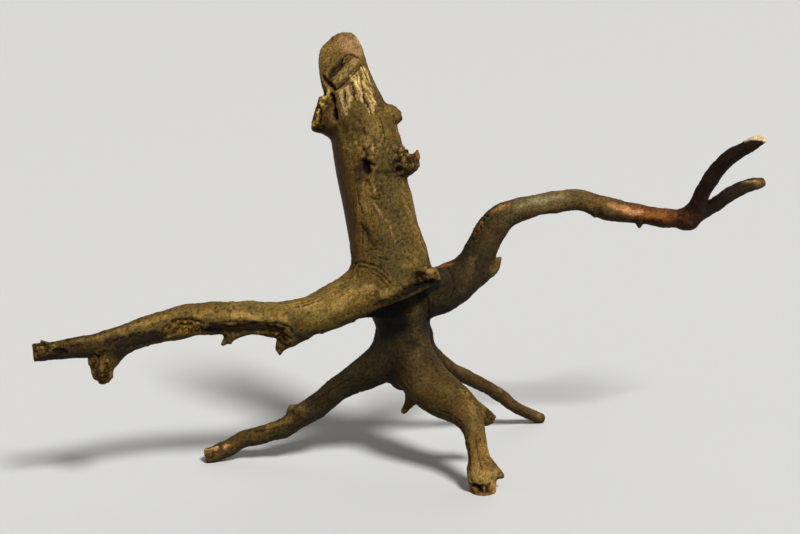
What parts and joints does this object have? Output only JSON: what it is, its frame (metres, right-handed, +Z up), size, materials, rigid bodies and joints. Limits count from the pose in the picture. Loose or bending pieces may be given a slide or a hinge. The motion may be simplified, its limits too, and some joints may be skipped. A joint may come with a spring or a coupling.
{
  "type": "dry root",
  "caption": "Dry root with a sawn, leaning trunk that stands on its root legs, and a long bare root arm reaching out to each side.",
  "frame": {"origin": "on the surface that the feet stand on, under the middle of the root's bounding box", "axes": "+Z up, +X to the right along the reach of the two long arms, -Y to the front, where the sawn face and the front foot are"},
  "size_m": [0.4274, 0.1458, 0.2557],
  "materials": {
    "weathered_wood": "dry, weathered bark with bare patches, matte with a slight sheen where it is worn"
  },
  "bodies": {
    "root": {"dry_root": "weathered_wood"}
  },
  "joints": []
}
